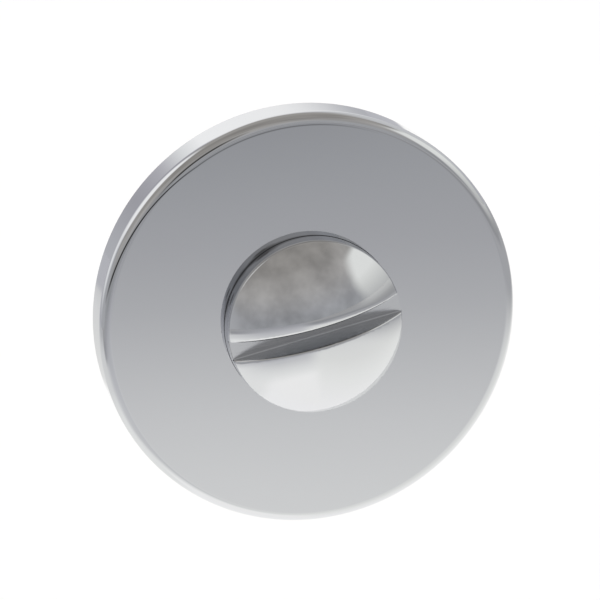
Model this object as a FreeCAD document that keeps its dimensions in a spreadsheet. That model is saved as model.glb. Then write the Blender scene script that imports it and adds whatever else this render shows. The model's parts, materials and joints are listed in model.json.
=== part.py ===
import FreeCAD, Part
import Sketcher
import math
import os

# Release rose of a bathroom lock: a round pressed cover over a die-cast base plate, and at the
# centre a domed release that a coin turns by its slot.
# Millimetres, +Z up. The release turns about the Y axis. The door's face is the plane y = 0:
# the rose stands in front of it, on -Y, and the fixings and the spindle enter the door on +Y.
# A depth is a place along Y, and a radius is measured from the Y axis.

# Driving sizes: name, value, what it is.
DRIVING_SIZES = [
    ("rose_diameter", 52.0, "cover, outside"),
    ("rose_height", 6.0, "cover's front face above the door"),
    ("rose_edge_radius", 1.3, "rounding of the cover's front edge"),
    ("cover_wall", 1.0, "sheet of the cover"),
    ("cover_corner_chamfer", 0.2, "inner corner of the cover"),
    ("hole_edge_chamfer", 0.1, "front edge of the cover's centre hole"),
    ("release_diameter", 21.7, "release head"),
    ("release_clearance", 0.1, "radial gap from the head to the cover's hole"),
    ("release_stand_out", 2.55, "head's rim above the cover's face"),
    ("dome_rise", 4.35, "top of the dome above the rim"),
    ("edge_break", 0.2, "chamfer of the head's rim and the slot's edges"),
    ("slot_width", 2.3, "coin slot"),
    ("slot_floor_drop", 0.45, "slot's floor below the rim"),
    ("shank_diameter", 10.0, "release shank"),
    ("shank_tail", 1.5, "shank behind its clip groove"),
    ("shank_chamfer", 0.5, "chamfer at the shank's end"),
    ("running_clearance", 0.05, "radial, shank in its bush"),
    ("spindle_width", 5.0, "across the flats of the square spindle"),
    ("spindle_clearance", 0.05, "each side, spindle in its socket"),
    ("spindle_reach", 45.0, "spindle behind the door's face"),
    ("spindle_chamfer", 0.5, "chamfer at the spindle's ends"),
    ("socket_depth", 12.0, "square socket, from the shank's end"),
    ("socket_gap", 0.2, "spindle's end to the socket's bottom"),
    ("seat_gap", 0.1, "cover's inside to the base plate's front"),
    ("plate_clearance", 0.25, "radial, base plate in the cover"),
    ("plate_rim_wall", 2.0, "base plate's outer wall"),
    ("plate_skin", 1.6, "base plate's front wall"),
    ("plate_edge_chamfer", 0.5, "base plate's front edge"),
    ("recess_margin", 1.6, "radial, release head to the plate's recess"),
    ("recess_depth", 2.3, "recess under the release head"),
    ("recess_wall", 1.6, "wall round the recess"),
    ("boss_wall", 2.2, "wall of the centre boss"),
    ("boss_reach", 3.0, "centre boss behind the door's face"),
    ("rib_count", 8, "radial ribs"),
    ("rib_width", 1.2, "radial ribs"),
    ("rib_shortfall", 0.5, "ribs' backs in front of the door"),
    ("bush_wall", 1.15, "nylon bush"),
    ("bush_flange_width", 3.2, "flange outside the nylon bush"),
    ("bush_flange_thickness", 0.8, "nylon bush"),
    ("bush_setback", 0.2, "bush's end inside the boss"),
    ("slip_clearance", 0.03, "radial, bush and nibs in the base plate"),
    ("spring_space", 0.9, "bush flange to release head"),
    ("spring_clearance", 0.05, "spring washer to its neighbours"),
    ("spring_thickness", 0.3, "spring washer"),
    ("spring_bore_clearance", 0.4, "radial, spring washer round the shank"),
    ("spring_band", 3.6, "width of the spring washer's band"),
    ("washer_thickness", 0.5, "thrust washer"),
    ("washer_band", 3.05, "width of the thrust washer's band"),
    ("washer_clearance", 0.15, "radial, thrust washer on the shank"),
    ("end_float", 0.1, "release's play along its axis"),
    ("clip_thickness", 1.0, "circlip"),
    ("clip_slack", 0.05, "each side, circlip in its groove"),
    ("clip_groove_depth", 0.2, "circlip's groove in the shank"),
    ("clip_width", 1.7, "circlip opposite its gap"),
    ("clip_taper", 0.3, "how far the outer edge is off centre"),
    ("clip_lug_diameter", 3.0, "circlip's lugs"),
    ("clip_lug_hole", 1.3, "plier holes in the lugs"),
    ("clip_gap", 1.8, "between the lugs"),
    ("snap_wire", 1.0, "square wire of the snap ring that holds the cover"),
    ("snap_bite", 0.25, "snap ring's hold in the cover"),
    ("snap_depth", 1.6, "snap ring's centre in front of the door"),
    ("snap_slack", 0.05, "snap ring in its grooves"),
    ("snap_play", 0.35, "room for the snap ring to close"),
    ("snap_opening", 30.0, "degrees between the snap ring's ends"),
    ("nib_inset", 3.75, "bolt nibs' axes inside the base plate's outer wall"),
    ("nib_diameter", 7.0, "bolt nibs, outside"),
    ("nib_reach", 9.0, "bolt nibs behind the door's face"),
    ("nib_seat", 0.4, "nibs' shoulders in front of the door's face"),
    ("nib_neck_diameter", 5.4, "neck riveted in the base plate"),
    ("nib_flare", 0.5, "riveted flare at the neck's end"),
    ("nib_chamfer", 0.4, "nib's outer end and bore mouth"),
    ("nib_pad_diameter", 9.6, "pads under the nibs"),
    ("bolt_bore_diameter", 3.3, "bore of an M4 thread"),
    ("screw_inset", 3.75, "wood screws' axes inside the base plate's outer wall"),
    ("screw_diameter", 3.5, "wood screws"),
    ("screw_head_diameter", 7.0, "wood screws' countersunk heads"),
    ("screw_head_rim", 0.3, "straight edge of the heads"),
    ("screw_length", 20.0, "wood screws, over all"),
    ("screw_point", 4.0, "tapered tip"),
    ("screw_sink", 0.1, "heads below the plate's front"),
    ("screw_clearance", 0.25, "radial, screw in its hole"),
    ("screw_pad_diameter", 10.0, "pads under the screw heads"),
    ("screw_pad_depth", 2.1, "pads behind the front wall"),
    ("cross_length", 4.0, "cross recess"),
    ("cross_width", 1.0, "cross recess"),
    ("cross_depth", 1.4, "cross recess"),
]

# Sizes and places that follow from the driving ones: name, formula, what it is.
WORKED_OUT_SIZES = [
    ("rose_radius", "rose_diameter / 2", "cover"),
    ("cover_front", "-rose_height", "depth of the cover's face"),
    ("cover_inside", "cover_front + cover_wall", "depth of the cover's inner face"),
    ("release_radius", "release_diameter / 2", "release head"),
    ("hole_radius", "release_radius + release_clearance", "cover's hole"),
    ("rim_depth", "cover_front - release_stand_out", "depth of the head's rim"),
    ("dome_top", "rim_depth - dome_rise", "depth of the dome's top"),
    ("slot_floor", "rim_depth + slot_floor_drop", "depth of the slot's floor"),
    ("plate_front", "cover_inside + seat_gap", "depth of the base plate's front"),
    ("plate_back", "plate_front + plate_skin", "depth of the front wall's back"),
    ("plate_radius", "rose_radius - cover_wall - plate_clearance", "base plate"),
    ("plate_inner_radius", "plate_radius - plate_rim_wall", "inside of the outer wall"),
    ("recess_radius", "release_radius + recess_margin", "recess"),
    ("recess_floor", "plate_front + recess_depth", "depth of the recess's floor"),
    ("recess_back", "recess_floor + plate_skin", "depth behind the recess"),
    ("recess_outer_radius", "recess_radius + recess_wall", "wall round the recess"),
    ("shank_radius", "shank_diameter / 2", "release shank"),
    ("bush_inner_radius", "shank_radius + running_clearance", "bush"),
    ("bush_outer_radius", "bush_inner_radius + bush_wall", "bush"),
    ("bush_flange_radius", "bush_outer_radius + bush_flange_width", "flange"),
    ("bush_front", "recess_floor - bush_flange_thickness", "depth of the flange's front"),
    ("boss_bore_radius", "bush_outer_radius + slip_clearance", "centre boss"),
    ("boss_radius", "boss_bore_radius + boss_wall", "centre boss"),
    ("head_back", "bush_front - spring_space", "depth of the head's back"),
    ("spring_inner_radius", "shank_radius + spring_bore_clearance", "spring washer"),
    ("spring_outer_radius", "spring_inner_radius + spring_band", "spring washer"),
    ("spring_front", "head_back + spring_clearance", "depth of its foremost line"),
    ("spring_bow", "spring_space - spring_clearance * 2 - spring_thickness", "how far its edge lies back"),
    ("spring_bend", "(spring_outer_radius^2 + spring_bow^2) / (2 * spring_bow)", "its bend's radius"),
    ("washer_inner_radius", "shank_radius + washer_clearance", "thrust washer"),
    ("washer_outer_radius", "washer_inner_radius + washer_band", "thrust washer"),
    ("washer_back", "boss_reach + washer_thickness", "depth of the washer's back"),
    ("clip_front", "washer_back + end_float", "depth of the circlip's front"),
    ("groove_front", "clip_front - clip_slack", "depth of the clip groove"),
    ("groove_back", "clip_front + clip_thickness + clip_slack", "depth of its end"),
    ("groove_radius", "shank_radius - clip_groove_depth", "clip groove"),
    ("shank_end", "groove_back + shank_tail", "depth of the shank's end"),
    ("socket_bottom", "shank_end - socket_depth", "depth of the socket's bottom"),
    ("clip_inner_radius", "groove_radius + clip_slack", "circlip"),
    ("clip_outer_radius", "clip_inner_radius + clip_width - clip_taper", "circlip"),
    ("snap_radius", "rose_radius - cover_wall + snap_bite - snap_wire / 2", "wire's centre"),
    ("snap_groove_half", "snap_wire / 2 + snap_slack", "half a groove's width"),
    ("snap_cover_groove", "snap_radius + snap_groove_half", "groove in the cover"),
    ("snap_plate_groove", "snap_radius - snap_groove_half - snap_play", "groove in the plate"),
    ("nib_place", "plate_inner_radius - nib_inset", "nib's axis from the release's"),
    ("nib_hole_radius", "nib_neck_diameter / 2 + slip_clearance", "hole for a nib's neck"),
    ("screw_place", "plate_inner_radius - screw_inset", "screw's axis from the release's"),
    ("screw_hole_radius", "screw_diameter / 2 + screw_clearance", "hole for a screw"),
    ("screw_head_radius", "screw_head_diameter / 2", "screw head"),
    ("screw_front", "plate_front + screw_sink", "depth of a screw head's face"),
]

SAME_PLACE = 1e-4


def make_sheet(doc):
    # The sheet holds each size once, in column B, with its name as the cell's alias.
    sheet = doc.addObject("Spreadsheet::Sheet", "Sizes")
    rows = [(name, str(value), note) for name, value, note in DRIVING_SIZES]
    rows += [(name, "=" + formula, note) for name, formula, note in WORKED_OUT_SIZES]
    for number, (name, content, note) in enumerate(rows, start=1):
        sheet.set("A%d" % number, name)
        sheet.set("B%d" % number, content)
        sheet.set("C%d" % number, note)
        sheet.setAlias("B%d" % number, name)
    doc.recompute()
    return sheet


def size(doc, name):
    return float(doc.Sizes.get(name))


def make_body(doc, name):
    body = doc.addObject("PartDesign::Body", name)
    body.Label = name
    return body


def origin_feature(body, role):
    return next(item for item in body.Origin.OriginFeatures if item.Role == role)


def make_sketch(body, name, plane):
    sketch = body.newObject("Sketcher::SketchObject", body.Name + "_" + name)
    sketch.AttachmentSupport = [(origin_feature(body, plane), "")]
    sketch.MapMode = "FlatFace"
    return sketch


def axial_sketch(body, name):
    # A half section: across is the radius, up is the depth along Y.
    return make_sketch(body, name, "XY_Plane")


def facing_sketch(body, name, depth):
    # A sketch that faces the front, at a depth along Y: across is X, up is Z.
    sketch = make_sketch(body, name, "XZ_Plane")
    sketch.setExpression("AttachmentOffset.Base.z", "-(%s)" % depth)
    return sketch


def value(sketch, expression):
    found = sketch.evalExpression(expression)
    return float(getattr(found, "Value", found))


def hold_point(sketch, geometry, point, across, up):
    # Each coordinate follows its own expression, and a zero lies on the sketch's axis.
    for kind, axis, expression in (("DistanceX", -2, across), ("DistanceY", -1, up)):
        if expression == "0":
            sketch.addConstraint(Sketcher.Constraint("PointOnObject", geometry, point, axis))
            continue
        held = Sketcher.Constraint(kind, geometry, point, value(sketch, expression))
        index = sketch.addConstraint(held)
        sketch.setExpression("Constraints[%d]" % index, expression)


def add_outline(sketch, corners, closed=True):
    places = [FreeCAD.Vector(value(sketch, x), value(sketch, y), 0) for x, y in corners]
    ends = places[1:] + places[:1] if closed else places[1:]
    first = sketch.GeometryCount
    for start, end in zip(places, ends):
        sketch.addGeometry(Part.LineSegment(start, end))
    count = len(ends)
    for number in range(count):
        line = first + number
        hold_point(sketch, line, 1, *corners[number])
        if closed or number + 1 < count:
            following = first + (number + 1) % count
            sketch.addConstraint(Sketcher.Constraint("Coincident", line, 2, following, 1))
    if not closed:
        hold_point(sketch, first + count - 1, 2, *corners[-1])
    return first


def add_rectangle(sketch, left, right, bottom, top):
    add_outline(sketch, [(left, bottom), (right, bottom), (right, top), (left, top)])


def add_circle(sketch, across, up, radius):
    centre = FreeCAD.Vector(value(sketch, across), value(sketch, up), 0)
    circle = Part.Circle(centre, FreeCAD.Vector(0, 0, 1), value(sketch, radius))
    number = sketch.addGeometry(circle)
    hold_point(sketch, number, 3, across, up)
    index = sketch.addConstraint(Sketcher.Constraint("Radius", number, value(sketch, radius)))
    sketch.setExpression("Constraints[%d]" % index, radius)


def revolve(body, sketch, kind="Revolution", angle=None):
    feature = body.newObject("PartDesign::" + kind, sketch.Name + "_turned")
    feature.Profile = sketch
    feature.ReferenceAxis = (sketch, ["V_Axis"])
    feature.Angle = 360
    if angle:
        feature.setExpression("Angle", angle)
    return finish(body, feature, sketch)


def extrude(body, sketch, length, kind="Pad"):
    # Pads and pockets both run along +Y, towards and into the door.
    feature = body.newObject("PartDesign::" + kind, sketch.Name + "_run")
    feature.Profile = sketch
    feature.Reversed = kind == "Pad"
    feature.setExpression("Length", length)
    return finish(body, feature, sketch)


def dress(body, kind, base, edges, radius):
    # A fillet or a chamfer on named edges of the feature before it.
    feature = body.newObject("PartDesign::" + kind, body.Name + "_" + kind)
    feature.Base = (base, edges)
    feature.setExpression("Size" if kind == "Chamfer" else "Radius", radius)
    return finish(body, feature)


def finish(body, feature, sketch=None):
    body.Tip = feature
    if sketch:
        sketch.Visibility = False
    body.Document.recompute()
    return feature


def real_edges(feature):
    # The feature's edges, each with its name. The pole of a dome is an edge with no length.
    for number, edge in enumerate(feature.Shape.Edges, start=1):
        if not edge.Degenerated:
            yield "Edge%d" % number, edge


def ring_edges(feature, radius, depth, centre=(0, 0)):
    # Names of the circles about an axis along Y, at this radius and depth.
    names = []
    for name, edge in real_edges(feature):
        curve = edge.Curve
        if not isinstance(curve, Part.Circle) or abs(abs(curve.Axis.y) - 1) > SAME_PLACE:
            continue
        offsets = (curve.Center.x - centre[0], curve.Center.z - centre[1], curve.Center.y - depth)
        if abs(curve.Radius - radius) < SAME_PLACE and max(map(abs, offsets)) < SAME_PLACE:
            names.append(name)
    return names


def edges_before(feature, depth):
    # Names of the edges whose middle lies in front of this depth.
    edges = real_edges(feature)
    return [name for name, edge in edges if edge.CenterOfMass.y < depth - SAME_PLACE]


def make_rose_cover(doc):
    # A dish of one sheet thickness with a rounded front edge and a hole for the release.
    body = make_body(doc, "rose_cover")
    blank = axial_sketch(body, "blank")
    radius = "Sizes.rose_radius"
    add_outline(blank, [("0", "0"), (radius, "0"), (radius, "Sizes.cover_front"), ("0", "Sizes.cover_front")])
    dish = revolve(body, blank)
    back = next(
        "Face%d" % number
        for number, face in enumerate(dish.Shape.Faces, start=1)
        if abs(face.CenterOfMass.y) < SAME_PLACE
    )
    shell = body.newObject("PartDesign::Thickness", "rose_cover_sheet")
    shell.Base = (dish, [back])
    shell.Reversed = True
    shell.setExpression("Value", "Sizes.cover_wall")
    shell = finish(body, shell)
    edges = ring_edges(shell, size(doc, "rose_radius"), size(doc, "cover_front"))
    rounded = dress(body, "Fillet", shell, edges, "Sizes.rose_edge_radius")
    edges = ring_edges(rounded, size(doc, "rose_radius") - size(doc, "cover_wall"), size(doc, "cover_inside"))
    dress(body, "Chamfer", rounded, edges, "Sizes.cover_corner_chamfer")
    hole = facing_sketch(body, "hole", "Sizes.cover_front")
    add_circle(hole, "0", "0", "Sizes.hole_radius")
    pierced = extrude(body, hole, "Sizes.cover_wall * 2", "Pocket")
    edges = ring_edges(pierced, size(doc, "hole_radius"), size(doc, "cover_front"))
    dress(body, "Chamfer", pierced, edges, "Sizes.hole_edge_chamfer")
    snap = axial_sketch(body, "snap_groove")
    half = "Sizes.snap_groove_half"
    inside = "Sizes.rose_radius - Sizes.cover_wall * 1.5"
    add_rectangle(
        snap, inside, "Sizes.snap_cover_groove", "-Sizes.snap_depth - " + half, "-Sizes.snap_depth + " + half
    )
    revolve(body, snap, "Groove")
    return body


def make_base_plate(doc):
    # A casting: a front wall with a recess for the release head, an outer wall, a boss and ribs.
    body = make_body(doc, "base_plate")
    section = axial_sketch(body, "section")
    corners = [
        ("boss_bore_radius", "plate_front"),
        ("plate_radius", "plate_front"),
        ("plate_radius", None),
        ("plate_inner_radius", None),
        ("plate_inner_radius", "plate_back"),
        ("recess_outer_radius", "plate_back"),
        ("recess_outer_radius", "recess_back"),
        ("boss_radius", "recess_back"),
        ("boss_radius", "boss_reach"),
        ("boss_bore_radius", "boss_reach"),
    ]
    add_outline(section, [("Sizes." + x, "Sizes." + y if y else "0") for x, y in corners])
    casting = revolve(body, section)
    edges = ring_edges(casting, size(doc, "plate_radius"), size(doc, "plate_front"))
    dress(body, "Chamfer", casting, edges, "Sizes.plate_edge_chamfer")
    add_ribs(body)
    add_fixing_pads(body)
    cut_fixing_holes(doc, body)
    recess = axial_sketch(body, "recess")
    add_rectangle(recess, "0", "Sizes.recess_radius", "Sizes.plate_front", "Sizes.recess_floor")
    revolve(body, recess, "Groove")
    snap = axial_sketch(body, "snap_groove")
    half = "Sizes.snap_groove_half"
    add_rectangle(
        snap,
        "Sizes.snap_plate_groove",
        "Sizes.plate_radius + Sizes.plate_clearance",
        "-Sizes.snap_depth - " + half,
        "-Sizes.snap_depth + " + half,
    )
    revolve(body, snap, "Groove")
    return body


def add_ribs(body):
    # Ribs from the recess's wall to the outer wall, the first half a step away from the X axis.
    sketch = facing_sketch(body, "rib", "Sizes.plate_back")
    sketch.setExpression("AttachmentOffset.Rotation.Angle", "180 / Sizes.rib_count")
    add_rectangle(
        sketch,
        "Sizes.recess_outer_radius - Sizes.recess_wall / 2",
        "Sizes.plate_inner_radius + Sizes.plate_rim_wall / 4",
        "-Sizes.rib_width / 2",
        "Sizes.rib_width / 2",
    )
    rib = extrude(body, sketch, "-Sizes.plate_back - Sizes.rib_shortfall")
    pattern = body.newObject("PartDesign::PolarPattern", "base_plate_ribs")
    pattern.Originals = [rib]
    pattern.Axis = (origin_feature(body, "Y_Axis"), [""])
    pattern.Angle = 360
    pattern.setExpression("Occurrences", "Sizes.rib_count")
    return finish(body, pattern)


def add_fixing_pads(body):
    # The nibs' pads end just short of the door, left and right; the screws' pads are shorter.
    nibs = facing_sketch(body, "nib_pads", "Sizes.plate_back")
    screws = facing_sketch(body, "screw_pads", "Sizes.plate_back")
    for sign in ("-", ""):
        add_circle(nibs, sign + "Sizes.nib_place", "0", "Sizes.nib_pad_diameter / 2")
        add_circle(screws, "0", sign + "Sizes.screw_place", "Sizes.screw_pad_diameter / 2")
    extrude(body, nibs, "-Sizes.plate_back - Sizes.nib_seat")
    extrude(body, screws, "Sizes.screw_pad_depth")


def cut_fixing_holes(doc, body):
    nibs = facing_sketch(body, "nib_holes", "Sizes.plate_front")
    screws = facing_sketch(body, "screw_holes", "Sizes.plate_front")
    for sign in ("-", ""):
        add_circle(nibs, sign + "Sizes.nib_place", "0", "Sizes.nib_hole_radius")
        add_circle(screws, "0", sign + "Sizes.screw_place", "Sizes.screw_hole_radius")
    extrude(body, nibs, "-Sizes.plate_front", "Pocket")
    drilled = extrude(body, screws, "-Sizes.plate_front", "Pocket")
    front = size(doc, "plate_front")
    edges = []
    for sign in (-1, 1):
        centre = (sign * size(doc, "nib_place"), 0)
        edges += ring_edges(drilled, size(doc, "nib_hole_radius"), front, centre)
    flared = dress(body, "Chamfer", drilled, edges, "Sizes.nib_flare")
    edges = []
    for sign in (-1, 1):
        centre = (0, sign * size(doc, "screw_place"))
        edges += ring_edges(flared, size(doc, "screw_hole_radius"), front, centre)
    sink = "Sizes.screw_head_radius + Sizes.screw_sink + Sizes.screw_head_rim - Sizes.screw_diameter / 2"
    dress(body, "Chamfer", flared, edges, sink)


def make_release(doc):
    # Head, dome and shank are one turning; the slot and the spindle's socket are cut into it.
    body = make_body(doc, "release")
    section = axial_sketch(body, "section")
    corners = [
        ("Sizes.release_radius", "Sizes.rim_depth"),
        ("Sizes.release_radius", "Sizes.head_back"),
        ("Sizes.shank_radius", "Sizes.head_back"),
        ("Sizes.shank_radius", "Sizes.groove_front"),
        ("Sizes.groove_radius", "Sizes.groove_front"),
        ("Sizes.groove_radius", "Sizes.groove_back"),
        ("Sizes.shank_radius", "Sizes.groove_back"),
        ("Sizes.shank_radius", "Sizes.shank_end"),
        ("0", "Sizes.shank_end"),
        ("0", "Sizes.dome_top"),
    ]
    first = add_outline(section, corners, closed=False)
    add_dome(doc, section, first, first + len(corners) - 2)
    turned = revolve(body, section)
    edges = ring_edges(turned, size(doc, "shank_radius"), size(doc, "shank_end"))
    dress(body, "Chamfer", turned, edges, "Sizes.shank_chamfer")
    slot = facing_sketch(body, "slot", "Sizes.dome_top")
    half = "Sizes.slot_width / 2"
    add_rectangle(slot, "-Sizes.release_radius * 2", "Sizes.release_radius * 2", "-" + half, half)
    slotted = extrude(body, slot, "Sizes.slot_floor - Sizes.dome_top", "Pocket")
    edges = edges_before(slotted, size(doc, "slot_floor"))
    dress(body, "Chamfer", slotted, edges, "Sizes.edge_break")
    socket = facing_sketch(body, "socket", "Sizes.socket_bottom")
    half = "(Sizes.spindle_width / 2 + Sizes.spindle_clearance)"
    add_rectangle(socket, "-" + half, half, "-" + half, half)
    extrude(body, socket, "Sizes.socket_depth * 2", "Pocket")
    return body


def add_dome(doc, section, wall, axis_line):
    # The dome's arc: centred on the axis, from the rim to the dome's top.
    rise = size(doc, "dome_rise")
    radius = (size(doc, "release_radius") ** 2 + rise**2) / (2 * rise)
    centre = FreeCAD.Vector(0, size(doc, "dome_top") + radius, 0)
    rim_angle = math.atan2(size(doc, "rim_depth") - centre.y, size(doc, "release_radius"))
    circle = Part.Circle(centre, FreeCAD.Vector(0, 0, 1), radius)
    arc = section.addGeometry(Part.ArcOfCircle(circle, -math.pi / 2, rim_angle))
    section.addConstraint(Sketcher.Constraint("Coincident", arc, 1, axis_line, 2))
    section.addConstraint(Sketcher.Constraint("Coincident", arc, 2, wall, 1))
    section.addConstraint(Sketcher.Constraint("PointOnObject", arc, 3, -2))


def make_shank_bush(doc):
    body = make_body(doc, "shank_bush")
    section = axial_sketch(body, "section")
    corners = [
        ("Sizes.bush_inner_radius", "Sizes.bush_front"),
        ("Sizes.bush_flange_radius", "Sizes.bush_front"),
        ("Sizes.bush_flange_radius", "Sizes.recess_floor"),
        ("Sizes.bush_outer_radius", "Sizes.recess_floor"),
        ("Sizes.bush_outer_radius", "Sizes.boss_reach - Sizes.bush_setback"),
        ("Sizes.bush_inner_radius", "Sizes.boss_reach - Sizes.bush_setback"),
    ]
    add_outline(section, corners)
    revolve(body, section)
    return body


def make_thrust_washer(doc):
    body = make_body(doc, "thrust_washer")
    outline = facing_sketch(body, "outline", "Sizes.boss_reach")
    add_circle(outline, "0", "0", "Sizes.washer_outer_radius")
    add_circle(outline, "0", "0", "Sizes.washer_inner_radius")
    extrude(body, outline, "Sizes.washer_thickness")
    return body


def make_spring_washer(doc):
    # A ring bent about an axis along Z: its middle presses on the head and its edges on the bush.
    body = make_body(doc, "spring_washer")
    strip = make_sketch(body, "strip", "XY_Plane")
    reach = "(Sizes.spring_outer_radius + Sizes.spring_thickness)"
    strip.setExpression("AttachmentOffset.Base.z", "-" + reach)
    add_bent_strip(strip, reach)
    feature = body.newObject("PartDesign::Pad", "spring_washer_strip_run")
    feature.Profile = strip
    feature.setExpression("Length", reach + " * 2")
    finish(body, feature, strip)
    outside = axial_sketch(body, "outside")
    bore = axial_sketch(body, "bore")
    front = "Sizes.head_back"
    back = "Sizes.recess_floor"
    add_rectangle(outside, "Sizes.spring_outer_radius", reach + " * 2", front, back)
    add_rectangle(bore, "0", "Sizes.spring_inner_radius", front, back)
    revolve(body, outside, "Groove")
    revolve(body, bore, "Groove")
    return body


def add_bent_strip(strip, reach):
    # Two arcs about one centre behind the strip, and the two lines that close its ends.
    bends = ("Sizes.spring_bend", "Sizes.spring_bend - Sizes.spring_thickness")
    centre = "Sizes.spring_front + Sizes.spring_bend"
    middle = FreeCAD.Vector(0, value(strip, centre), 0)
    for number, radius in enumerate(bends):
        turn = math.asin(value(strip, reach) / value(strip, radius))
        circle = Part.Circle(middle, FreeCAD.Vector(0, 0, 1), value(strip, radius))
        strip.addGeometry(Part.ArcOfCircle(circle, -math.pi / 2 - turn, -math.pi / 2 + turn))
        hold_point(strip, number, 3, "0", centre)
        index = strip.addConstraint(Sketcher.Constraint("Radius", number, value(strip, radius)))
        strip.setExpression("Constraints[%d]" % index, radius)
    front, back = strip.Geometry
    for end, corners in ((1, (front.StartPoint, back.StartPoint)), (2, (front.EndPoint, back.EndPoint))):
        line = strip.addGeometry(Part.LineSegment(*corners))
        strip.addConstraint(Sketcher.Constraint("Coincident", line, 1, 0, end))
        strip.addConstraint(Sketcher.Constraint("Coincident", line, 2, 1, end))
        strip.addConstraint(Sketcher.Constraint("Vertical", line))
        index = strip.addConstraint(Sketcher.Constraint("DistanceX", line, 1, corners[0].x))
        strip.setExpression("Constraints[%d]" % index, ("-" if end == 1 else "") + reach)


def make_circlip(doc):
    # A flat ring, narrower towards its gap, with two lugs for the pliers below.
    body = make_body(doc, "circlip")
    ring = facing_sketch(body, "ring", "Sizes.clip_front")
    add_circle(ring, "0", "Sizes.clip_taper", "Sizes.clip_outer_radius")
    add_circle(ring, "0", "0", "Sizes.clip_inner_radius")
    extrude(body, ring, "Sizes.clip_thickness")
    across = "(Sizes.clip_gap + Sizes.clip_lug_diameter) / 2"
    down = "-Sizes.clip_inner_radius - Sizes.clip_lug_diameter / 2"
    lugs = facing_sketch(body, "lugs", "Sizes.clip_front")
    holes = facing_sketch(body, "lug_holes", "Sizes.clip_front")
    for sign in ("-", ""):
        add_circle(lugs, sign + across, down, "Sizes.clip_lug_diameter / 2")
        add_circle(holes, sign + across, down, "Sizes.clip_lug_hole / 2")
    extrude(body, lugs, "Sizes.clip_thickness")
    extrude(body, holes, "Sizes.clip_thickness", "Pocket")
    gap = facing_sketch(body, "gap", "Sizes.clip_front")
    half = "Sizes.clip_gap / 2"
    add_rectangle(gap, "-" + half, half, "-Sizes.clip_outer_radius - Sizes.clip_lug_diameter", "0")
    extrude(body, gap, "Sizes.clip_thickness", "Pocket")
    return body


def make_cover_snap_ring(doc):
    # Square wire in an open ring, its gap at the bottom of the rose.
    body = make_body(doc, "cover_snap_ring")
    wire = axial_sketch(body, "wire")
    half = "Sizes.snap_wire / 2"
    add_rectangle(
        wire,
        "Sizes.snap_radius - " + half,
        "Sizes.snap_radius + " + half,
        "-Sizes.snap_depth - " + half,
        "-Sizes.snap_depth + " + half,
    )
    revolve(body, wire, angle="360 - Sizes.snap_opening")
    turn = 90 + size(doc, "snap_opening") / 2
    body.Placement = FreeCAD.Placement(FreeCAD.Vector(), FreeCAD.Rotation(FreeCAD.Vector(0, 1, 0), turn))
    return body


def make_spindle(doc):
    body = make_body(doc, "spindle")
    front = "Sizes.socket_bottom + Sizes.socket_gap"
    outline = facing_sketch(body, "outline", front)
    half = "Sizes.spindle_width / 2"
    add_rectangle(outline, "-" + half, half, "-" + half, half)
    bar = extrude(body, outline, "Sizes.spindle_reach - (%s)" % front)
    ends = [name for name, edge in real_edges(bar) if edge.BoundBox.YLength < SAME_PLACE]
    dress(body, "Chamfer", bar, ends, "Sizes.spindle_chamfer")
    return body


def make_bolt_nib(doc, side, sign):
    # A threaded sleeve: its neck is riveted over in the base plate, its body enters the door.
    body = make_body(doc, "bolt_nib_" + side)
    section = axial_sketch(body, "section")
    bore = "Sizes.bolt_bore_diameter / 2"
    neck = "Sizes.nib_neck_diameter / 2"
    outside = "Sizes.nib_diameter / 2"
    corners = [
        (bore, "Sizes.plate_front"),
        (neck + " + Sizes.nib_flare", "Sizes.plate_front"),
        (neck, "Sizes.plate_front + Sizes.nib_flare"),
        (neck, "-Sizes.nib_seat"),
        (outside, "-Sizes.nib_seat"),
        (outside, "Sizes.nib_reach - Sizes.nib_chamfer"),
        (outside + " - Sizes.nib_chamfer", "Sizes.nib_reach"),
        (bore + " + Sizes.nib_chamfer", "Sizes.nib_reach"),
        (bore, "Sizes.nib_reach - Sizes.nib_chamfer"),
    ]
    add_outline(section, corners)
    revolve(body, section)
    body.setExpression("Placement.Base.x", "%s * Sizes.nib_place" % sign)
    return body


def make_wood_screw(doc, side, sign):
    # Countersunk head with a cross recess; the shank is drawn at the thread's outside.
    body = make_body(doc, "wood_screw_" + side)
    section = axial_sketch(body, "section")
    head = "Sizes.screw_head_radius"
    shank = "Sizes.screw_diameter / 2"
    rim = "Sizes.screw_head_rim"
    corners = [
        ("0", "0"),
        (head, "0"),
        (head, rim),
        (shank, "%s + %s - %s" % (rim, head, shank)),
        (shank, "Sizes.screw_length - Sizes.screw_point"),
        ("0", "Sizes.screw_length"),
    ]
    add_outline(section, corners)
    revolve(body, section)
    cross = facing_sketch(body, "cross", "0")
    reach = "Sizes.cross_length / 2"
    half = "Sizes.cross_width / 2"
    corners = []
    for across, up in ((reach, half), (half, half), (half, reach)):
        corners.append((across, up))
    mirrored = [("-" + across, up) for across, up in reversed(corners)]
    upper = corners + mirrored
    lower = [(across, "-" + up) for across, up in reversed(upper)]
    add_outline(cross, upper + lower)
    extrude(body, cross, "Sizes.cross_depth", "Pocket")
    body.setExpression("Placement.Base.y", "Sizes.screw_front")
    body.setExpression("Placement.Base.z", "%s * Sizes.screw_place" % sign)
    return body


def make_pieces(doc):
    pieces = [
        make_rose_cover(doc),
        make_base_plate(doc),
        make_release(doc),
        make_shank_bush(doc),
        make_spring_washer(doc),
        make_thrust_washer(doc),
        make_circlip(doc),
        make_cover_snap_ring(doc),
        make_spindle(doc),
    ]
    for side, sign in (("left", "-1"), ("right", "1")):
        pieces.append(make_bolt_nib(doc, side, sign))
    for side, sign in (("lower", "-1"), ("upper", "1")):
        pieces.append(make_wood_screw(doc, side, sign))
    return pieces


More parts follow.
